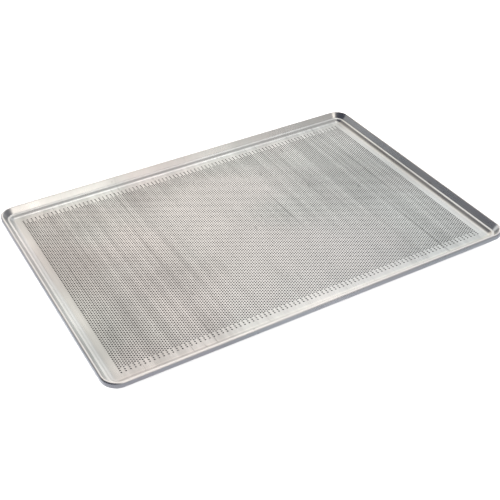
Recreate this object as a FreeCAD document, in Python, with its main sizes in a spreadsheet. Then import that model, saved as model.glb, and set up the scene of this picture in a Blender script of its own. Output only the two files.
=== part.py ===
import FreeCAD, Part
import math
import os

import Sketcher
from FreeCAD import Placement, Rotation, Vector

# Perforated baguette tray: one pressed aluminium sheet in the 600 x 400 mm bakery size.
# X runs along the tray, Y across it (front is -Y) and Z up; the underside of the floor is z = 0.
# The sheet is held as its regions: a flat floor, then a step, a sloped wall and a turned-down lip
# along each side and round each corner.  Neighbouring regions meet face to face along plain cuts.

doc = FreeCAD.newDocument("baguette_tray")

# ---------------------------------------------------------------- driving dimensions (mm)
DIMENSIONS = [
    ("tray_length", 600.0, "outside, over the lips, along X"),
    ("tray_width", 400.0, "outside, over the lips, along Y"),
    ("tray_height", 13.5, "underside of the floor to the crest of the rim"),
    ("sheet_thickness", 1.5, "aluminium sheet"),
    ("corner_radius", 22.0, "outside corner in plan; also how far in the flat floor begins"),
    ("crest_radius", 2.0, "outside of the fold between wall and lip"),
    ("lip_depth", 7.2, "crest to the lower edge of the turned-down lip"),
    ("wall_run", 7.0, "crest to the foot of the wall, level"),
    ("wall_drop", 8.0, "crest to the foot of the wall, down"),
    ("ledge_run", 2.6, "width of the ledge at the foot of the wall"),
    ("ledge_drop", 0.4, "fall of the ledge"),
    ("step_run", 5.0, "width of the step from the ledge down to the floor"),
    ("foot_radius", 1.2, "bend from wall to ledge"),
    ("ledge_radius", 2.4, "bend from ledge to step"),
    ("floor_radius", 10.0, "bend from step to floor"),
]

sizes = doc.addObject("Spreadsheet::Sheet", "sizes")
for row, (alias, value, note) in enumerate(DIMENSIONS, start=1):
    sizes.set(f"A{row}", alias)
    sizes.set(f"B{row}", str(value))
    sizes.set(f"C{row}", note)
    sizes.setAlias(f"B{row}", alias)
doc.recompute()


def size(alias):
    return float(sizes.get(alias))


# ---------------------------------------------------------------- section sketches
# The sections are drawn looking along +X at the front side: sketch x is the distance in from
# the outer face of the lip, and sketch y is the height above the underside of the floor.
START, END, CENTRE = 1, 2, 3
SECTION_PLANE = Placement(Vector(0, 0, 0), Rotation(Vector(0, 1, 0), Vector(0, 0, 1), Vector(1, 0, 0)))


def new_section(label):
    sketch = doc.addObject("Sketcher::SketchObject", label)
    sketch.Placement = SECTION_PLANE
    return sketch


def line(sketch, start, end, construction=False):
    segment = Part.LineSegment(Vector(start[0], start[1], 0), Vector(end[0], end[1], 0))
    return sketch.addGeometry(segment, construction)


def arc(sketch, centre, start, end, construction=False):
    """The short arc about centre whose ends are the points start and end, in either order."""
    first = math.atan2(start[1] - centre[1], start[0] - centre[0])
    last = math.atan2(end[1] - centre[1], end[0] - centre[0])
    if (last - first) % (2 * math.pi) > math.pi:
        first, last = last, first
    circle = Part.Circle(Vector(centre[0], centre[1], 0), Vector(0, 0, 1), math.dist(centre, start))
    return sketch.addGeometry(Part.ArcOfCircle(circle, first, last), construction)


def join(sketch, first, second, kind="Tangent"):
    """Tie the two nearest ends of two curves, smoothly or with a plain corner."""

    def gap(ends):
        return sketch.getPoint(first, ends[0]).distanceToPoint(sketch.getPoint(second, ends[1]))

    a, b = min([(a, b) for a in (START, END) for b in (START, END)], key=gap)
    sketch.addConstraint(Sketcher.Constraint(kind, first, a, second, b))


def bind(sketch, kind, *args):
    """Add a constraint whose last argument is an expression on the sheet."""
    *where, formula = args
    value = float(sketch.evalExpression(formula))
    index = sketch.addConstraint(Sketcher.Constraint(kind, *where, value))
    sketch.setExpression(f"Constraints[{index}]", formula)
    return index


def fillet(before, corner, after, radius):
    """Centre and two ends of the arc that rounds a corner of a path."""
    a = Vector(before[0] - corner[0], before[1] - corner[1], 0).normalize()
    b = Vector(after[0] - corner[0], after[1] - corner[1], 0).normalize()
    half = a.getAngle(b) / 2
    at = Vector(corner[0], corner[1], 0)
    centre = at + (a + b).normalize() * (radius / math.sin(half))
    reach = radius / math.tan(half)
    return [(p.x, p.y) for p in (centre, at + a * reach, at + b * reach)]


def wall_top():
    """Where the crest fold ends and the straight wall begins, on the upper surface."""
    radius, run = size("crest_radius"), size("wall_run")
    fall = size("wall_drop") - radius
    turn = math.acos(radius / math.hypot(run, fall)) - math.atan2(fall, run)
    return turn, (radius + radius * math.cos(turn), size("tray_height") - radius + radius * math.sin(turn))


def offset(point, turn, distance):
    return (point[0] + distance * math.cos(turn), point[1] + distance * math.sin(turn))


def lip_section():
    """The turned-down lip and the fold at the crest of the rim."""
    sketch = new_section("lip_section")
    radius, thick = size("crest_radius"), size("sheet_thickness")
    low = size("tray_height") - size("lip_depth")
    centre = (radius, size("tray_height") - radius)
    foot = (radius + size("wall_run"), size("tray_height") - size("wall_drop"))
    turn, top = wall_top()
    under = offset(top, turn, -thick)

    outside = line(sketch, (0, low), (0, centre[1]))
    fold = arc(sketch, centre, (0, centre[1]), top)
    cut = line(sketch, top, under)
    inner_fold = arc(sketch, centre, (thick, centre[1]), under)
    inside = line(sketch, (thick, low), (thick, centre[1]))
    edge = line(sketch, (0, low), (thick, low))
    slope = line(sketch, top, foot, construction=True)

    sketch.addConstraint(Sketcher.Constraint("Vertical", outside))
    sketch.addConstraint(Sketcher.Constraint("Horizontal", edge))
    sketch.addConstraint(Sketcher.Constraint("Vertical", inside))
    join(sketch, outside, fold)
    join(sketch, fold, slope)
    join(sketch, inside, inner_fold)
    join(sketch, outside, edge, "Coincident")
    join(sketch, edge, inside, "Coincident")
    join(sketch, fold, cut, "Coincident")
    join(sketch, cut, inner_fold, "Coincident")
    sketch.addConstraint(Sketcher.Constraint("Coincident", fold, CENTRE, inner_fold, CENTRE))
    sketch.addConstraint(Sketcher.Constraint("Perpendicular", cut, slope))
    sketch.addConstraint(Sketcher.Constraint("PointOnObject", outside, START, -2))
    bind(sketch, "Radius", fold, "sizes.crest_radius")
    bind(sketch, "DistanceX", edge, START, edge, END, "sizes.sheet_thickness")
    bind(sketch, "DistanceY", -1, START, outside, START, "sizes.tray_height - sizes.lip_depth")
    bind(sketch, "DistanceY", -1, START, fold, CENTRE, "sizes.tray_height - sizes.crest_radius")
    bind(sketch, "DistanceX", -1, START, slope, END, "sizes.crest_radius + sizes.wall_run")
    bind(sketch, "DistanceY", -1, START, slope, END, "sizes.tray_height - sizes.wall_drop")
    return sketch


def bent_strip(sketch, path, bends, places):
    """A strip of sheet whose upper surface follows a path, rounded at each of its inner corners.

    bends gives each inner corner's radius alias, with 1 where it opens upward and -1 downward.
    places gives the two expressions that fix each point of the path, or None for a free one.
    Returns the straight stretches of the upper surface.
    """
    thick = size("sheet_thickness")

    def below(point, toward, distance):
        along = Vector(toward[0] - point[0], toward[1] - point[1], 0).normalize()
        return (point[0] + along.y * distance, point[1] - along.x * distance)

    def surface(depth):
        arcs = []
        for i, (alias, up) in enumerate(bends, start=1):
            centre, near, far = fillet(path[i - 1], path[i], path[i + 1], size(alias))
            grow = 1 + up * depth / size(alias)
            ends = [tuple(c + (q - c) * grow for c, q in zip(centre, end)) for end in (near, far)]
            arcs.append((centre, *ends))
        first = below(path[0], path[1], depth)
        last = below(path[-1], (2 * path[-1][0] - path[-2][0], 2 * path[-1][1] - path[-2][1]), depth)
        stops = [first] + [point for a in arcs for point in a[1:]] + [last]
        lines = [line(sketch, stops[i], stops[i + 1]) for i in range(0, len(stops), 2)]
        rounds = [arc(sketch, *a) for a in arcs]
        for i, bend in enumerate(rounds):
            join(sketch, lines[i], bend)
            join(sketch, bend, lines[i + 1])
        return lines, rounds

    upper, upper_bends = surface(0.0)
    lower, lower_bends = surface(thick)
    for near, start, far in ((upper[0], START, lower[0]), (upper[-1], END, lower[-1])):
        top, bottom = sketch.getPoint(near, start), sketch.getPoint(far, start)
        cut = line(sketch, (top.x, top.y), (bottom.x, bottom.y))
        join(sketch, near, cut, "Coincident")
        join(sketch, cut, far, "Coincident")
        sketch.addConstraint(Sketcher.Constraint("Perpendicular", cut, near))
    bind(sketch, "Distance", cut, START, cut, END, "sizes.sheet_thickness")
    for high, low in zip(upper, lower):
        sketch.addConstraint(Sketcher.Constraint("Parallel", high, low))
    for high, low, (alias, _) in zip(upper_bends, lower_bends, bends):
        sketch.addConstraint(Sketcher.Constraint("Coincident", high, CENTRE, low, CENTRE))
        bind(sketch, "Radius", high, f"sizes.{alias}")

    for i, place in enumerate(places):
        if place is None:
            continue
        if i in (0, len(path) - 1):
            curve, end = (upper[0], START) if i == 0 else (upper[-1], END)
        else:
            curve, end = sketch.addGeometry(Part.Point(Vector(path[i][0], path[i][1], 0)), True), START
            for stretch in (upper[i - 1], upper[i]):
                sketch.addConstraint(Sketcher.Constraint("PointOnObject", curve, end, stretch))
        bind(sketch, "DistanceX", -1, START, curve, end, place[0])
        bind(sketch, "DistanceY", -1, START, curve, end, place[1])
    return upper


# Points of the upper surface where its straight stretches would meet, as expressions.
RUN = "sizes.crest_radius + sizes.wall_run"
HIGH = "sizes.tray_height - sizes.wall_drop"
FOOT = (RUN, HIGH)
LEDGE_MIDDLE = (f"{RUN} + sizes.ledge_run / 2", f"{HIGH} - sizes.ledge_drop / 2")
BROW = (f"{RUN} + sizes.ledge_run", f"{HIGH} - sizes.ledge_drop")
TOE = (f"{RUN} + sizes.ledge_run + sizes.step_run", "sizes.sheet_thickness")
FLOOR_EDGE = ("sizes.corner_radius", "sizes.sheet_thickness")


def at(sketch, place):
    return tuple(float(sketch.evalExpression(formula)) for formula in place)


def wall_section():
    """The straight sloped wall, from the fold down to the middle of the ledge at its foot."""
    sketch = new_section("wall_section")
    top = wall_top()[1]
    path = [top, at(sketch, FOOT), at(sketch, LEDGE_MIDDLE)]
    slope = bent_strip(sketch, path, [("foot_radius", 1)], [None, FOOT, LEDGE_MIDDLE])[0]

    # The fold at the crest, which the straight wall leaves at a tangent.
    crest = (size("crest_radius"), size("tray_height") - size("crest_radius"))
    upright = line(sketch, (0, 0), (0, crest[1]), construction=True)
    fold = arc(sketch, crest, (0, crest[1]), top, construction=True)
    join(sketch, fold, slope)
    join(sketch, upright, fold)
    sketch.addConstraint(Sketcher.Constraint("PointOnObject", upright, START, -2))
    sketch.addConstraint(Sketcher.Constraint("PointOnObject", upright, START, -1))
    bind(sketch, "Radius", fold, "sizes.crest_radius")
    bind(sketch, "DistanceX", -1, START, fold, CENTRE, "sizes.crest_radius")
    bind(sketch, "DistanceY", -1, START, fold, CENTRE, "sizes.tray_height - sizes.crest_radius")
    return sketch


def step_section():
    """The step from the middle of the ledge down to the flat floor."""
    sketch = new_section("step_section")
    places = [LEDGE_MIDDLE, BROW, TOE, FLOOR_EDGE]
    path = [at(sketch, place) for place in places]
    bent_strip(sketch, path, [("ledge_radius", -1), ("floor_radius", 1)], places)
    return sketch


# ---------------------------------------------------------------- regions of the sheet
# Going round from the front: each side's name, its corner's name, its quarter turns, and where
# its run begins and ends, given in half lengths, half widths and corner radii.
HALF_X, HALF_Y, INSET = "sizes.tray_length / 2", "sizes.tray_width / 2", "sizes.corner_radius"
SIDES = [
    ("front", "front_right", 0, f"-({HALF_X} - {INSET})", f"-{HALF_Y}", "tray_length"),
    ("right", "rear_right", 1, HALF_X, f"-({HALF_Y} - {INSET})", "tray_width"),
    ("rear", "rear_left", 2, f"{HALF_X} - {INSET}", HALF_Y, "tray_length"),
    ("left", "front_left", 3, f"-{HALF_X}", f"{HALF_Y} - {INSET}", "tray_width"),
]
CORNER_AT = {0: (1, 0), 1: (0, 1), 2: (-1, 0), 3: (0, -1)}


def place(part, quarter_turns, across, along):
    part.Placement = Placement(Vector(0, 0, 0), Rotation(Vector(0, 0, 1), 90 * quarter_turns))
    part.setExpression("Placement.Base.x", across)
    part.setExpression("Placement.Base.y", along)


def straight_run(label, section, quarter_turns, across, along, whole):
    """A length of one section, drawn out between two corners."""
    part = doc.addObject("Part::Extrusion", label)
    part.Base = section
    part.DirMode = "Normal"
    part.Solid = True
    part.setExpression("LengthFwd", f"sizes.{whole} - 2 * {INSET}")
    place(part, quarter_turns, across, along)
    return part


def corner_turn(label, section, quarter_turns, across, along, whole):
    """A quarter turn of one section about the corner's upright axis, from the end of its side."""
    part = doc.addObject("Part::Revolution", label)
    part.Source = section
    part.Axis = Vector(0, 0, 1)
    part.Angle = 90
    part.Solid = True
    part.setExpression("Base.y", INSET)
    x, y = CORNER_AT[quarter_turns]
    length = f"(sizes.{whole} - 2 * {INSET})"
    place(part, quarter_turns, f"{across} + {x} * {length}", f"{along} + {y} * {length}")
    return part


def flat_floor():
    """The flat bed inside the walls.  Its holes are not cut here."""
    part = doc.addObject("Part::Box", "perforated_floor")
    part.setExpression("Length", f"sizes.tray_length - 2 * {INSET}")
    part.setExpression("Width", f"sizes.tray_width - 2 * {INSET}")
    part.setExpression("Height", "sizes.sheet_thickness")
    place(part, 0, f"-({HALF_X} - {INSET})", f"-({HALF_Y} - {INSET})")
    return part


sections = {"lip": lip_section(), "wall": wall_section(), "step": step_section()}
doc.recompute()
parts = [flat_floor()]
for side, corner, turns, across, along, whole in SIDES:
    for region, section in sections.items():
        parts.append(straight_run(f"{side}_{region}", section, turns, across, along, whole))
        parts.append(corner_turn(f"{corner}_corner_{region}", section, turns, across, along, whole))
doc.recompute()

# ---------------------------------------------------------------- checks and files
os.makedirs("parts", exist_ok=True)
for item in [sizes, *sections.values(), *parts]:
    if "Invalid" in item.State or "Error" in item.State:
        raise RuntimeError(f"{item.Label} did not recompute: {item.State}")
for sketch in sections.values():
    if sketch.solve() != 0 or not sketch.FullyConstrained:
        raise RuntimeError(f"{sketch.Label} is not fully solved")
for part in parts:
    shape = part.Shape
    if shape.isNull() or not shape.isValid() or len(shape.Solids) != 1:
        raise RuntimeError(f"{part.Label} is not one sound solid")
    shape.exportStep(f"parts/{part.Label}.step")
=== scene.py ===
# %% [markdown]
# A perforated baguette tray
#
# The real tray is one aluminium sheet: a flat bed punched with thousands of small holes, a step and a
# sloped wall all round it, and a lip folded down over the edge.  The CAD model gives every size and
# holds the sheet as plain regions.  Here the same sheet is made again with its holes, its unbroken
# bends and its metal finish, and stands in for those regions.

# %% The frame
import math

import bmesh
import bpy
from mathutils import Matrix, Vector


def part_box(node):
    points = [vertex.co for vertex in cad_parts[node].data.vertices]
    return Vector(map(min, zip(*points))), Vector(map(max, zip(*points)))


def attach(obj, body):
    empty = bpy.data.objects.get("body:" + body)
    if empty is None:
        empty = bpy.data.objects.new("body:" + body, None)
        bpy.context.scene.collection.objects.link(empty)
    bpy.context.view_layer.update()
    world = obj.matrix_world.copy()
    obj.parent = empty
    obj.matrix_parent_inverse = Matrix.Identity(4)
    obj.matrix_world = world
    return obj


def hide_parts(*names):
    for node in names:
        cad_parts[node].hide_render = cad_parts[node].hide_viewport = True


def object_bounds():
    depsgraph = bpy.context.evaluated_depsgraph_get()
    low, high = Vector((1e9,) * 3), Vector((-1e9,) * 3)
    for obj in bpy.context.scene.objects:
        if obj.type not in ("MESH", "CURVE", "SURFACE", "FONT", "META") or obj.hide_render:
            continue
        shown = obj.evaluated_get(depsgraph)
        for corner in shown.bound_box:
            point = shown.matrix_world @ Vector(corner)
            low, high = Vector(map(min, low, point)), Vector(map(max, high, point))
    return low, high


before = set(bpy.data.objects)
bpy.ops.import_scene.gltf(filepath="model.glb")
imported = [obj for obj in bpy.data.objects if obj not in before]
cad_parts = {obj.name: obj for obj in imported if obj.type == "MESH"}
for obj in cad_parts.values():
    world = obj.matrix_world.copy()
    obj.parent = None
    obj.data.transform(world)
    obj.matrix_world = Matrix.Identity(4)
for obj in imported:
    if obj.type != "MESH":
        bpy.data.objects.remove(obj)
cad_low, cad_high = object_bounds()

print("CAD box in mm:", [round(1000 * (b - a), 2) for a, b in zip(cad_low, cad_high)])

# %% [markdown]
# Sizes come from the CAD nodes, so that nothing is fitted twice.  A node's box gives where a region of
# the sheet begins and ends: the lip's box gives how deep the lip hangs, the floor's box gives the
# thickness of the sheet and how far in the flat bed starts.  The rounded corners have that distance
# as their radius.

# %% Sizes read from the frame
floor_low, floor_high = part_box("perforated_floor")
lip_low, lip_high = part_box("front_lip")

HALF_LENGTH = cad_high.x
HALF_WIDTH = cad_high.y
CREST = lip_high.z
LIP_EDGE = lip_low.z
SHEET = floor_high.z
CORNER = HALF_LENGTH - floor_high.x
print("lip depth, sheet, corner in mm:", [round(1000 * v, 2) for v in (CREST - LIP_EDGE, SHEET, CORNER)])

# %% [markdown]
# A person shaping the rim thinks in distances in from the edge and heights above the table.  These are
# the same few figures that the CAD sketches use, in metres: the round of the fold, then the wall, the
# ledge at its foot, and the step down to the bed.

# %% The rim's own figures
MM = 0.001
CREST_RADIUS = 2.0 * MM
WALL_RUN, WALL_DROP = 7.0 * MM, 8.0 * MM
LEDGE_RUN, LEDGE_DROP = 2.6 * MM, 0.4 * MM
STEP_RUN = 5.0 * MM
FOOT_BEND, BROW_BEND, TOE_BEND = 1.2 * MM, 2.4 * MM, 10.0 * MM
EDGE_ROUND = 0.25 * MM
CORNER_STEPS = 20
rim_width = CREST_RADIUS + WALL_RUN + LEDGE_RUN + STEP_RUN
print("the rim's slopes take up", round(rim_width / MM, 1), "mm in plan, all round")

# %% [markdown]
# The holes sit in a sixty degree stagger, in straight columns across the tray.  Columns of 98 holes
# take turns with columns of 93, which leaves short teeth of holes along both long edges.

# %% The hole pattern
PITCH = 3.56 * MM
COLUMN_STEP = PITCH * math.sin(math.radians(60))
HOLE_RADIUS = 1.12 * MM
HOLE_SIDES = 12
COLUMNS = 177
LONG_COLUMN, SHORT_COLUMN = 98, 93
PANELS = 8
FIELD_X = COLUMNS * COLUMN_STEP / 2
FIELD_Y = LONG_COLUMN * PITCH / 2
holes = (COLUMNS + 1) // 2 * LONG_COLUMN + COLUMNS // 2 * SHORT_COLUMN
print(holes, "holes in a field of", round(2 * FIELD_X / MM, 1), "by", round(2 * FIELD_Y / MM, 1), "mm")

# %% [markdown]
# Every operator works on what is selected, and the frame arrives selected.  So each piece starts from
# nothing selected, and is then opened for editing on its own.

# %% Helpers for opening a piece


def clear_selection():
    """Leave edit mode and select nothing."""
    if bpy.context.object and bpy.context.object.mode != "OBJECT":
        bpy.ops.object.mode_set(mode="OBJECT")
    bpy.ops.object.select_all(action="DESELECT")


def pick(piece):
    """Select one piece and nothing else, and make it the active one."""
    clear_selection()
    piece.select_set(True)
    bpy.context.view_layer.objects.active = piece


def reopen(piece):
    pick(piece)
    bpy.ops.object.mode_set(mode="EDIT")


def start(name, add, **where):
    """Add a primitive at the origin, name it and open it for editing."""
    clear_selection()
    add(enter_editmode=True, location=(0, 0, 0), **where)
    piece = bpy.context.object
    piece.name = name
    piece.data.name = name
    return piece


# %% [markdown]
# Inside edit mode the points, edges or faces to work on are chosen by their place, which takes the part
# of a click or a box drawn round them.

# %% Helpers for choosing by place
SAME = 0.01 * MM
MERGE = 0.001 * MM


def near(value, target, slack=SAME):
    return abs(value - target) < slack


def choose(test, kind="VERT"):
    """Select the vertices, edges or faces whose middle passes a test of its place."""
    bpy.ops.mesh.select_mode(type=kind)
    bpy.ops.mesh.select_all(action="DESELECT")
    mesh = bmesh.from_edit_mesh(bpy.context.object.data)
    if kind == "VERT":
        for v in mesh.verts:
            v.select = test(v.co)
    elif kind == "EDGE":
        for e in mesh.edges:
            e.select = test((e.verts[0].co + e.verts[1].co) / 2)
    else:
        for f in mesh.faces:
            f.select = test(f.calc_center_median())
    mesh.select_flush_mode()
    bmesh.update_edit_mesh(bpy.context.object.data)


def weld_open_mesh():
    """Join points that lie on each other and turn all faces to the same side."""
    bpy.ops.mesh.select_all(action="SELECT")
    bpy.ops.mesh.remove_doubles(threshold=MERGE)
    bpy.ops.mesh.normals_make_consistent(inside=False)
    clear_selection()


def apply_modifier(piece, kind, **settings):
    """Add one modifier, set it and apply it."""
    pick(piece)
    modifier = piece.modifiers.new(kind.title(), kind)
    for key, value in settings.items():
        setattr(modifier, key, value)
    bpy.ops.object.modifier_apply(modifier=modifier.name)


# %% [markdown]
# The rim's upper surface is one line in section.  It is set out the way it would be for bending, first
# as sharp corners: the foot of the wall, the brow where the ledge turns down into the step, the toe
# where the step meets the bed, and a last point on the flat.  Across is the distance in from the edge,
# and up is the height above the table.  The last point stops a little short of the corner radius, so
# that the innermost ring keeps a small round and doesn't shrink to a point in each corner.

# %% The corners of the section
INNER_ROUND = 1.5 * MM
foot = Vector((CREST_RADIUS + WALL_RUN, CREST - WALL_DROP))
brow = foot + Vector((LEDGE_RUN, -LEDGE_DROP))
toe = Vector((brow.x + STEP_RUN, SHEET))
flat = Vector((CORNER - INNER_ROUND, SHEET))
for name, corner in (("foot", foot), ("brow", brow), ("toe", toe), ("flat", flat)):
    print(name, "is", round(corner.x / MM, 1), "mm in and", round(corner.y / MM, 1), "mm up")

# %% [markdown]
# A sheet never bends sharply.  Each corner is replaced by a few points on an arc that touches the
# stretches on both sides of it.

# %% Rounding a corner


def rounded(before, corner, after, radius, steps):
    """Points on the arc that rounds one corner of a line."""
    a, b = (before - corner).normalized(), (after - corner).normalized()
    half = a.angle(b) / 2
    centre = corner + (a + b).normalized() * (radius / math.sin(half))
    first, last = corner + a * (radius / math.tan(half)), corner + b * (radius / math.tan(half))
    turn = (first - centre).angle_signed(last - centre)
    return [centre + Matrix.Rotation(-turn * i / steps, 2) @ (first - centre) for i in range(steps + 1)]


# %% [markdown]
# The fold at the crest is an arc too.  It starts on the lip's upright face and goes over the top, and
# ends where the straight line down to the foot touches it.

# %% The section of the rim
FOLD_STEPS, FOOT_STEPS, BROW_STEPS, TOE_STEPS = 12, 5, 4, 8
fold_centre = Vector((CREST_RADIUS, CREST - CREST_RADIUS))
to_foot = foot - fold_centre
wall_turn = math.acos(CREST_RADIUS / to_foot.length) + math.atan2(to_foot.y, to_foot.x)
fold_angles = [math.pi + (wall_turn - math.pi) * i / FOLD_STEPS for i in range(FOLD_STEPS + 1)]
section = [fold_centre + CREST_RADIUS * Vector((math.cos(t), math.sin(t))) for t in fold_angles]
section += rounded(section[-1], foot, brow, FOOT_BEND, FOOT_STEPS)
section += rounded(foot, brow, toe, BROW_BEND, BROW_STEPS)
section += rounded(brow, toe, flat, TOE_BEND, TOE_STEPS)
section += [flat]
wall_slope = 90 - math.degrees(wall_turn)
print(len(section), "points from the lip's face to the bed, the wall", round(wall_slope, 1), "degrees steep")

# %% [markdown]
# The rim starts as a plain plane as large as the tray.  Its four corners are bevelled round, and it is
# drawn up to make the lip's face.

# %% The rim, from a plane
rim = start("rim", bpy.ops.mesh.primitive_plane_add, size=1)
bpy.ops.transform.resize(value=(2 * HALF_LENGTH, 2 * HALF_WIDTH, 1))
bpy.ops.transform.translate(value=(0, 0, LIP_EDGE))
bpy.ops.mesh.bevel(offset=CORNER, segments=CORNER_STEPS, affect="VERTICES")
bpy.ops.mesh.select_all(action="SELECT")
lip_face = section[0].y - LIP_EDGE
bpy.ops.mesh.extrude_region_move(TRANSFORM_OT_translate={"value": (0, 0, lip_face)})
print("the lip's upright face is", round(lip_face / MM, 1), "mm tall")

# %% [markdown]
# The top face is then inset again and again.  Each inset moves in and up or down by one stretch of the
# section, so the corners stay concentric like those of a pressed tray.  An outline swept along a path
# would give the same shape, but this way each bend is one ring that can be counted.  The face left in
# the middle and the one left underneath are taken out.

# %% The rim's rings
for here, there in zip(section, section[1:]):
    stretch = there - here
    bpy.ops.mesh.inset(thickness=stretch.x, depth=stretch.y, use_even_offset=True)
bpy.ops.mesh.delete(type="ONLY_FACE")
choose(lambda p: near(p.z, LIP_EDGE) and near(p.x, 0, 10 * MM), kind="FACE")
bpy.ops.mesh.delete(type="ONLY_FACE")
print("rim has", len(bmesh.from_edit_mesh(rim.data).faces), "faces before it gets its thickness")

# %% [markdown]
# The innermost ring still has small round corners, and the hole field is a plain rectangle.  The ring
# is extruded in place, and each of its four sides is flattened onto the edge of the field, as scaling
# to zero does by hand.


# %% The plain border round the holes
def on_innermost_ring(p):
    inside = abs(p.x) <= HALF_LENGTH - flat.x + SAME and abs(p.y) <= HALF_WIDTH - flat.x + SAME
    return inside and near(p.z, SHEET)


choose(on_innermost_ring)
bpy.ops.mesh.extrude_edges_move(TRANSFORM_OT_translate={"value": (0, 0, 0)})
ring = [v.index for v in bmesh.from_edit_mesh(rim.data).verts if v.select]
for axis, edge in ((0, FIELD_X), (1, FIELD_Y)):
    for side in (-1, 1):
        mesh = bmesh.from_edit_mesh(rim.data)
        mesh.verts.ensure_lookup_table()
        bpy.ops.mesh.select_all(action="DESELECT")
        for i in ring:
            mesh.verts[i].select = mesh.verts[i].co[axis] * side > edge
        mesh.select_flush_mode()
        bmesh.update_edit_mesh(rim.data)
        squeeze = [1, 1, 1]
        squeeze[axis] = 0
        pivot = [0, 0, SHEET]
        pivot[axis] = side * edge
        bpy.ops.transform.resize(value=squeeze, center_override=pivot)
weld_open_mesh()
print(len(ring), "points of the ring moved to the edge of the field")

# %% [markdown]
# So far the rim has no thickness.  Solidify adds the sheet's behind the surface just drawn, so the sizes
# of that surface stay as they are.  The cut edge under the lip gets a slight round, because a raw one
# would cut the hands.

# %% Thickness and the dressed edge
apply_modifier(
    rim, "SOLIDIFY", thickness=SHEET, offset=-1, use_even_offset=True, use_quality_normals=True
)
reopen(rim)
choose(lambda p: near(p.z, LIP_EDGE), kind="FACE")
bpy.ops.mesh.region_to_loop()
bpy.ops.mesh.bevel(offset=EDGE_ROUND, segments=2)
clear_selection()
print("rim:", len(rim.data.vertices), "vertices,", len(rim.data.polygons), "faces")

# %% [markdown]
# One hole with the bit of sheet round it is drawn once.  The bit is a small oblong, one pitch tall and
# one column wide, with a point half way up each side, so that a neighbour moved up by half a pitch
# meets it corner to point.  Fill closes the face between the outline and the ring of the hole, and
# over the hole too, so the faces inside the ring are taken out again.

# %% One hole and its bit of sheet
cell = start("cell", bpy.ops.mesh.primitive_plane_add, size=1)
bpy.ops.transform.resize(value=(COLUMN_STEP, PITCH, 1))
choose(lambda p: near(abs(p.x), COLUMN_STEP / 2), kind="EDGE")
bpy.ops.mesh.subdivide(number_cuts=1)
bpy.ops.mesh.select_all(action="SELECT")
bpy.ops.mesh.delete(type="ONLY_FACE")
bpy.ops.mesh.primitive_circle_add(vertices=HOLE_SIDES, radius=HOLE_RADIUS, fill_type="NOTHING")
bpy.ops.mesh.select_mode(type="EDGE")
bpy.ops.mesh.select_all(action="SELECT")
bpy.ops.mesh.fill(use_beauty=True)
choose(lambda p: p.length < 0.99 * HOLE_RADIUS, kind="FACE")
bpy.ops.mesh.delete(type="ONLY_FACE")
bpy.ops.mesh.select_all(action="SELECT")
bpy.ops.mesh.tris_convert_to_quads()
bpy.ops.mesh.normals_make_consistent(inside=False)
print("one cell has", len(bmesh.from_edit_mesh(cell.data).faces), "faces")
clear_selection()

# %% [markdown]
# What repeats is modelled once and copied.  Each copy has a mesh of its own, and is moved by its points,
# so that every finished piece still has its origin at the middle of the tray.

# %% Helpers for copying, moving and joining


def copy_of(piece, name):
    clear_selection()
    twin = piece.copy()
    twin.data = piece.data.copy()
    twin.name = name
    bpy.context.scene.collection.objects.link(twin)
    return twin


def shift(piece, x, y, z=0.0):
    reopen(piece)
    bpy.ops.mesh.select_all(action="SELECT")
    bpy.ops.transform.translate(value=(x, y, z))
    clear_selection()


def repeat(piece, count, offset):
    """An array of the piece, each copy joined to the last where their points meet."""
    apply_modifier(
        piece,
        "ARRAY",
        count=count,
        use_relative_offset=False,
        use_constant_offset=True,
        constant_offset_displace=offset,
        use_merge_vertices=True,
        merge_threshold=MERGE,
    )


def join(pieces, name):
    """Join the pieces into the first of them."""
    pick(pieces[0])
    for piece in pieces[1:]:
        piece.select_set(True)
    bpy.ops.object.join()
    pieces[0].name = name
    pieces[0].data.name = name
    return pieces[0]


def weld(piece):
    reopen(piece)
    weld_open_mesh()


# %% [markdown]
# Arrays do what a punch does: the cell is repeated up a column.  A short column is finished at both ends
# with plain strip, cut every half pitch so that its points meet those of the columns beside it.

# %% A long column and a short one


def column(name, count):
    strip = copy_of(cell, name)
    shift(strip, 0, -(count - 1) * PITCH / 2)
    repeat(strip, count, (0, PITCH, 0))
    return strip


def plain_end(side):
    """The unpunched stretch between a short column's last hole and the edge of the field."""
    strip = start("plain_end", bpy.ops.mesh.primitive_plane_add, size=1)
    pitches = (LONG_COLUMN - SHORT_COLUMN) / 2
    bpy.ops.transform.resize(value=(COLUMN_STEP, pitches * PITCH, 1))
    choose(lambda p: near(abs(p.x), COLUMN_STEP / 2), kind="EDGE")
    bpy.ops.mesh.subdivide(number_cuts=round(2 * pitches) - 1)
    bpy.ops.mesh.select_all(action="SELECT")
    bpy.ops.transform.translate(value=(0, side * (SHORT_COLUMN + pitches) / 2 * PITCH, 0))
    clear_selection()
    return strip


long_column = column("long_column", LONG_COLUMN)
short_column = join([column("short_column", SHORT_COLUMN), plain_end(1), plain_end(-1)], "short_column")
for strip in (long_column, short_column):
    print(strip.name, "is", round(strip.dimensions.y / MM, 1), "mm long")

# %% [markdown]
# A long and a short column side by side make a pair, and pairs repeat along the bed.  The bed is made
# as eight panels, only to keep each mesh light: there are no seams on the real sheet, and the panels
# meet point to point.  A panel is lifted so that its upper side is level with the floor's.

# %% Pairs and the first panel
shift(short_column, COLUMN_STEP, 0)
pair = join([copy_of(long_column, "pair"), short_column], "pair")
weld(pair)

PAIRS = COLUMNS // 2 // PANELS
panel = copy_of(pair, "perforated_panel_1")
shift(panel, -(COLUMNS - 1) / 2 * COLUMN_STEP, 0, SHEET)
repeat(panel, PAIRS, (2 * COLUMN_STEP, 0, 0))
weld(panel)
print("first panel:", PAIRS * 2, "columns,", len(panel.data.polygons), "faces on its upper side")

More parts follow.
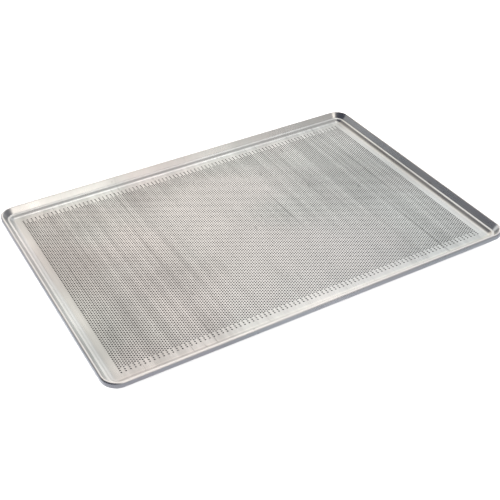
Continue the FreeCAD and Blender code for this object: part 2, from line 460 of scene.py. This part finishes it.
# %% [markdown]
# The other panels are copies moved along.  One more long column closes the last of them, so that the
# field ends at the right as it began at the left.  Solidify then cuts the holes through the sheet: it
# draws the lower side and the wall of every hole at once.

# %% The other panels
panels = [panel]
for i in range(1, PANELS):
    twin = copy_of(panel, f"perforated_panel_{i + 1}")
    shift(twin, 2 * PAIRS * i * COLUMN_STEP, 0)
    panels.append(twin)
shift(long_column, (COLUMNS - 1) / 2 * COLUMN_STEP, 0, SHEET)
join([panels[-1], long_column], panels[-1].name)
weld(panels[-1])
for piece in panels:
    apply_modifier(piece, "SOLIDIFY", thickness=SHEET, offset=-1)
for scrap in (cell, pair):
    bpy.data.objects.remove(scrap)
print("panels:", [sum(len(p.vertices) - 2 for p in piece.data.polygons) for piece in panels], "triangles")

# %% [markdown]
# The bends are smooth to the eye and the edges of the holes are sharp.  Shading is smoothed by angle:
# flats that meet at less than forty degrees are read as one bend.

# %% Smooth shading
pick(rim)
for piece in panels:
    piece.select_set(True)
bpy.ops.object.shade_smooth_by_angle(angle=math.radians(40))
clear_selection()
print("smoothed", 1 + len(panels), "pieces")

# %% [markdown]
# The metal is bare rolled aluminium.  All of its finish is made from noise on Object coordinates, so it
# is the same size on every piece and runs on from one panel to the next.  These helpers keep each
# layer of it to a line or two.

# %% Nodes, one line each


def add(tree, kind, settings=None, **sockets):
    """Add a node, set its properties, and fill or link its sockets by name."""
    made = tree.nodes.new("ShaderNode" + kind)
    for key, value in (settings or {}).items():
        setattr(made, key, value)
    for name, value in sockets.items():
        fill(tree, made.inputs[name.replace("_", " ")], value)
    return made


def fill(tree, socket, value):
    """Link a socket to another, or set it to a constant."""
    if isinstance(value, bpy.types.NodeSocket):
        tree.links.new(value, socket)
    else:
        socket.default_value = value


def noise(tree, place, stretch, detail=3.0, shift=(0, 0, 0)):
    """Noise whose cells are about 1 / stretch metres long each way."""
    moved = add(tree, "Mapping", Vector=place, Scale=stretch, Location=shift)
    return add(tree, "TexNoise", Vector=moved.outputs["Vector"], Scale=1.0, Detail=detail).outputs["Fac"]


def spread(tree, value, low, high, to_low, to_high):
    """Carry the range low to high over to another range, easing in and out."""
    made = add(tree, "MapRange", Value=value, From_Min=low, From_Max=high, To_Min=to_low, To_Max=to_high)
    made.interpolation_type = "SMOOTHSTEP"
    return made.outputs["Result"]


def blend(tree, amount, first, second, way="MIX"):
    made = add(tree, "Mix", {"data_type": "RGBA", "blend_type": way})
    for socket, value in ((made.inputs[0], amount), (made.inputs[6], first), (made.inputs[7], second)):
        fill(tree, socket, value)
    return made.outputs[2]


def sums(tree, way, first, second):
    made = add(tree, "Math", {"operation": way})
    fill(tree, made.inputs[0], first)
    fill(tree, made.inputs[1], second)
    return made.outputs["Value"]


def new_metal(name):
    """A metal, its node tree, its shader and the place on the object."""
    material = bpy.data.materials.new(name)
    material.use_nodes = True
    shader = material.node_tree.nodes["Principled BSDF"]
    shader.inputs["Metallic"].default_value = 1.0
    place = add(material.node_tree, "TexCoord").outputs["Object"]
    return material, material.node_tree, shader, place


# %% [markdown]
# First the tint.  Oven heat and fat stain the sheet in soft clouds, some warm and some cool.  The right
# hand end is the cooler one, and some clouds are darker than others.

# %% Rolled aluminium: stains
WARM = (0.775, 0.75, 0.74, 1)
COOL = (0.75, 0.768, 0.752, 1)

sheet_metal, tree, metal, place = new_metal("rolled_aluminium")
apart = add(tree, "SeparateXYZ", Vector=place)
along, height = apart.outputs["X"], apart.outputs["Z"]

stain = spread(tree, noise(tree, place, (5, 5, 5), 2.5, (3.1, 0.4, 0)), 0.38, 0.62, 0, 1)
cooler = sums(tree, "ADD", stain, spread(tree, along, 0.0, 0.2, 0, 0.8))
colour = blend(tree, cooler, WARM, COOL)
cloud = spread(tree, noise(tree, place, (6, 8, 6), 3, (1.7, 5.2, 0)), 0.35, 0.7, 0.88, 1.06)
print("warm tint", WARM[:3], "and cool tint", COOL[:3])

# %% [markdown]
# Some marks hardly show on the rim.  The bed's colour is darker towards the left hand end, and the mill
# and the loaves slid over it leave long streaks and a few dark lines from front to back.  A mask by
# height keeps these to the bed and lets only a little onto the rim.

# %% Rolled aluminium: the bed's streaks
MASK_FULL, MASK_FAINT = SHEET + 0.2 * MM, 2 * SHEET  # heights above the table
on_bed = spread(tree, height, MASK_FULL, MASK_FAINT, 1, 0.15)
# The bed's colour gets darker towards the left hand end.
left_end_darkening = spread(tree, along, -0.3, -0.15, 0.84, 1.0)
streak = spread(tree, noise(tree, place, (110, 2.2, 40), 3), 0.3, 0.7, 0.86, 1.07)
line = spread(tree, noise(tree, place, (260, 3.0, 40), 1, (0.3, 0.2, 0)), 0.64, 0.74, 1.0, 0.68)
colour = blend(tree, on_bed, colour, left_end_darkening, "MULTIPLY")
colour = blend(tree, 1.0, colour, cloud, "MULTIPLY")
colour = blend(tree, on_bed, colour, streak, "MULTIPLY")
colour = blend(tree, on_bed, colour, line, "MULTIPLY")
print("bed mask: full to", round(MASK_FULL / MM, 1), "mm, faint from", round(MASK_FAINT / MM, 1), "mm up")

# %% [markdown]
# A few broad uneven patches near the middle of the bed are painted brighter: a painted sheen that stands
# in for soft reflections of the light.  Each is an oval that fades out, broken up by noise.

# %% Rolled aluminium: painted sheen patches
# The bright colour of the painted sheen patches, also used for the crest's polish and painted highlight.
SHEEN_AND_POLISH = (0.86, 0.845, 0.832, 1)
PAINTED_SHEEN_PATCHES = (
    # middle along and across the bed, then half its length and half its width, in metres
    (0.0, 0.085, 0.17, 0.08),
    (0.03, -0.115, 0.21, 0.13),
    (-0.03, 0.0, 0.10, 0.09),
)
# Each oval is painted with the sheen colour, fading out towards its edge.
for x, y, half_long, half_wide in PAINTED_SHEEN_PATCHES:
    oval = {"Location": (x, y, 0), "Scale": (half_long, half_wide, 1)}
    at = add(tree, "Mapping", {"vector_type": "TEXTURE"}, Vector=place, **oval)
    away = add(tree, "VectorMath", {"operation": "LENGTH"}, Vector=at.outputs["Vector"])
    uneven = spread(tree, noise(tree, place, (16, 9, 16), 3, (x, y, 0)), 0.25, 0.65, 0.45, 1.0)
    fade = spread(tree, away.outputs["Value"], 0.35, 1.0, 1, 0)
    colour = blend(tree, sums(tree, "MULTIPLY", fade, uneven), colour, SHEEN_AND_POLISH)
print(len(PAINTED_SHEEN_PATCHES), "rubbed patches")

# %% [markdown]
# Last come small smudges of burnt fat, and a brighter band along the crest: partly polish where hands
# and racks rub it, partly a painted highlight.

# %% Rolled aluminium: smudges, and the crest's polish and painted highlight
CREST_POLISH_AND_HIGHLIGHT_DEPTH = 1.2 * MM
smudge = spread(tree, noise(tree, place, (90, 30, 90), 1, (0.6, 0, 0)), 0.74, 0.82, 1.0, 0.7)
colour = blend(tree, 1.0, colour, smudge, "MULTIPLY")
# The top of the crest is painted brighter: partly polish, partly a painted highlight.
crest_polish_and_highlight = spread(tree, height, CREST - CREST_POLISH_AND_HIGHLIGHT_DEPTH, CREST, 0, 1)
colour = blend(tree, crest_polish_and_highlight, colour, SHEEN_AND_POLISH)
tree.links.new(colour, metal.inputs["Base Color"])
print("polish starts", round((CREST - CREST_POLISH_AND_HIGHLIGHT_DEPTH) / MM, 1), "mm above the table")

# %% [markdown]
# Up close the sheet has a fine grain along the rolling direction, which spreads every reflection.  The
# same noise sets the roughness and a very shallow bump.  Broader noise makes some areas duller, and a
# slow wave makes the flat sheet a little uneven, as thin sheet always is.

# %% Rolled aluminium: grain, dullness and waves
grain = noise(tree, place, (2400, 45, 2400), 2)
patchy = noise(tree, place, (14, 9, 14), 3, (0, 2.0, 0))
grain_rough = spread(tree, grain, 0.3, 0.7, 0.27, 0.35)
patch_rough = spread(tree, patchy, 0.3, 0.7, -0.03, 0.05)
tree.links.new(sums(tree, "ADD", grain_rough, patch_rough), metal.inputs["Roughness"])

wave = noise(tree, place, (9, 7, 9), 1.5, (4.0, 1.0, 0))
hollow = add(tree, "Bump", Height=wave, Strength=1.0, Distance=0.4 * MM).outputs["Normal"]
fine = add(tree, "Bump", Height=grain, Strength=0.25, Distance=0.02 * MM, Normal=hollow)
tree.links.new(fine.outputs["Normal"], metal.inputs["Normal"])
print("rolled aluminium uses", len(tree.nodes), "nodes")

# %% [markdown]
# A punch leaves the wall of each hole torn and dull, and crumbs and fat bake onto it.  So the walls of
# the holes get a rougher finish and a near-black colour of their own.  The colour is mostly painted shade:
# it stands in for the shadow down in the holes, and it is what makes the pattern stand out.

# %% The hole walls: dull metal, soot and painted shade
# Near-black colours: some soot, and mostly painted shade for the shadow down in the holes.
SOOT_AND_SHADE_DARK, SOOT_AND_SHADE_LIGHT = (0.045, 0.044, 0.043, 1), (0.10, 0.098, 0.095, 1)

hole_wall, tree, metal, place = new_metal("hole_wall_soot_and_shade")
soot_and_shade = spread(tree, noise(tree, place, (40, 30, 40), 3), 0.3, 0.7, 0, 1)
tree.links.new(blend(tree, soot_and_shade, SOOT_AND_SHADE_DARK, SOOT_AND_SHADE_LIGHT), metal.inputs["Base Color"])
torn = noise(tree, place, (3000, 3000, 900), 2)
tree.links.new(spread(tree, torn, 0.3, 0.7, 0.55, 0.75), metal.inputs["Roughness"])
print("punched edge uses", len(tree.nodes), "nodes")

# %% [markdown]
# The rim takes the sheet's finish all over.  On a panel the upright faces are the walls of the holes,
# and take the second finish.

# %% Finishes on the pieces
for piece in [rim, *panels]:
    piece.data.materials.clear()
    piece.data.materials.append(sheet_metal)
for piece in panels:
    piece.data.materials.append(hole_wall)
    for face in piece.data.polygons:
        face.material_index = int(abs(face.normal.z) < 0.5)
print("finishes:", [m.name for m in panels[0].data.materials])

# %% [markdown]
# Every piece rides on the one body and stands for the CAD regions it covers.  The rim is one unbroken
# piece, as pressed, so it stands for all the lips, walls and steps.  The eight panels share the floor.

# %% Riding on the frame
for piece in [rim, *panels]:
    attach(piece, "root")
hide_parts(*[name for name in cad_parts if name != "perforated_floor"])
for piece in panels:
    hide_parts("perforated_floor")
print("on the frame:", ", ".join(piece.name for piece in [rim, *panels]))

# %% [markdown]
# The tray lies on a white table.  The table is left out of reflections, so that the lip reflects one
# even cool tone from below and not the shadow under the tray.

# %% The table it stands on
clear_selection()
bpy.ops.mesh.primitive_plane_add(size=12, location=(0, 0, 0))
table = bpy.context.object
table.name = "table"
table.visible_glossy = False
paint = bpy.data.materials.new("pale_table")
paint.use_nodes = True
paint.node_tree.nodes["Principled BSDF"].inputs["Base Color"].default_value = (0.93, 0.93, 0.93, 1)
paint.node_tree.nodes["Principled BSDF"].inputs["Roughness"].default_value = 1.0
table.data.materials.append(paint)

# %% [markdown]
# Bare metal shows what is round it, so the light matters as much as the finish.  Light comes from soft
# round patches on the dome of the sky, the way large diffusers stand round a table in a studio.
# Area lamps would do as well, but patches on a dome need no distance and can be placed by direction
# alone.  Directions are given as on a compass.

# %% A direction on the dome


def compass(azimuth, elevation):
    """A direction: azimuth clockwise from straight behind the tray, elevation up from the table."""
    a, e = math.radians(azimuth), math.radians(elevation)
    return Vector((math.sin(a) * math.cos(e), math.cos(a) * math.cos(e), math.sin(e)))


# %% [markdown]
# Each face of the tray reflects its own part of the dome, so each patch has a job.  Hardly any light
# comes from the left, and that keeps the right hand wall dark.

# %% The patches of light
PATCHES = (
    # azimuth, elevation, inner and outer radius in degrees, brightness and colour
    (40, 34, 18, 44, 0.71, (1.0, 1.01, 1.0)),  # wide, behind on the right: the bed
    (8, 35, 8, 29, 0.43, (1.0, 0.82, 0.60)),  # warm, behind: the left of the bed
    (30, 4, 12, 30, 0.64, (1.0, 0.92, 0.84)),  # low behind: the left hand step
    (51, 70, 5, 16, 2.10, (1.0, 0.96, 0.90)),  # high up: the bright line along the rear toe
    (168, 37, 7, 19, 2.25, (1.0, 0.93, 0.85)),  # warm, in front: the rear wall
    (110, 25, 20, 80, 0.09, (1.0, 1.0, 1.0)),  # faint and wide, on the right
    (335, 20, 4, 20, 1.00, (1.0, 1.0, 1.0)),  # small, behind on the left: the right wall's rear end
    (132, 64, 10, 28, 0.42, (1.0, 0.95, 0.88)),  # high, in front on the right: the rear step
    (346, -42, 10, 42, 0.32, (1.0, 0.98, 0.95)),  # from below: the left hand lip
)
AMBIENT = (0.066, 0.069, 0.092, 1)
FROM_BELOW = (0.46, 0.475, 0.54, 1)
print(len(PATCHES), "patches of light, the brightest", max(patch[4] for patch in PATCHES))

# %% [markdown]
# A patch is a circle on the dome.  The cosine of the angle to its middle says how far a direction is
# from it, and easing from the outer radius to the inner one gives the soft edge.

# %% The dome of soft light
world = bpy.data.worlds.new("studio")
bpy.context.scene.world = world
world.use_nodes = True
sky = world.node_tree
direction = add(sky, "TexCoord").outputs["Generated"]
up = add(sky, "SeparateXYZ", Vector=direction).outputs["Z"]
glow = blend(sky, spread(sky, up, -0.12, 0.05, 0, 1), FROM_BELOW, AMBIENT)
for azimuth, elevation, inner, outer, brightness, tint in PATCHES:
    facing = add(sky, "VectorMath", {"operation": "DOT_PRODUCT"})
    fill(sky, facing.inputs[0], direction)
    fill(sky, facing.inputs[1], compass(azimuth, elevation))
    edge, core = math.cos(math.radians(outer)), math.cos(math.radians(inner))
    inside = spread(sky, facing.outputs["Value"], edge, core, 0, 1)
    glow = blend(sky, inside, glow, tuple(brightness * c for c in tint) + (1,), "ADD")
sky.links.new(glow, sky.nodes["Background"].inputs["Color"])
print("the dome uses", len(sky.nodes), "nodes")

# %% [markdown]
# The table is lit apart from the tray, as a backdrop often is, by low broad suns that reach nothing
# else.  Those in front and on the left are stronger, which lifts the tray's own shadow there.

# %% The wash on the table
WASH_ELEVATION = 28
WASH_WIDTH = math.radians(40)
WASHES = ((20, 3.2), (110, 3.2), (200, 4.2), (290, 4.2))  # azimuth and strength

table_only = bpy.data.collections.new("table_only")
table_only.objects.link(table)
for azimuth, strength in WASHES:
    wash = bpy.data.lights.new("wash", "SUN")
    wash.energy = strength
    wash.angle = WASH_WIDTH
    lamp = bpy.data.objects.new("wash", wash)
    bpy.context.scene.collection.objects.link(lamp)
    lamp.rotation_euler = compass(azimuth, WASH_ELEVATION).to_track_quat("Z", "Y").to_euler()
    lamp.light_linking.receiver_collection = table_only
bpy.context.scene.view_settings.view_transform = "Standard"
print(len(WASHES), "suns on the table alone")

# %% [markdown]
# The camera stands in front on the left and looks down at the tray from about one and a quarter metres
# away.  It is turned very slightly about its own axis, as one held by hand would be.

# %% Camera
CAMERA_PLACE = (-0.5148, -0.8633, 0.7399)
LOOK = Vector((0.37998, 0.69315, -0.61251))
ROLL = math.radians(-0.632)

camera_data = bpy.data.cameras.new("camera")
camera_data.lens = 63.42
camera_data.shift_x = 0.0562
camera = bpy.data.objects.new("camera", camera_data)
bpy.context.scene.collection.objects.link(camera)
camera.location = CAMERA_PLACE
camera.rotation_mode = "QUATERNION"
level = LOOK.to_track_quat("-Z", "Y")
camera.rotation_quaternion = level @ Matrix.Rotation(ROLL, 3, "Z").to_quaternion()
bpy.context.scene.camera = camera
print("camera stands", round(Vector(CAMERA_PLACE).length, 2), "m from the middle of the tray")
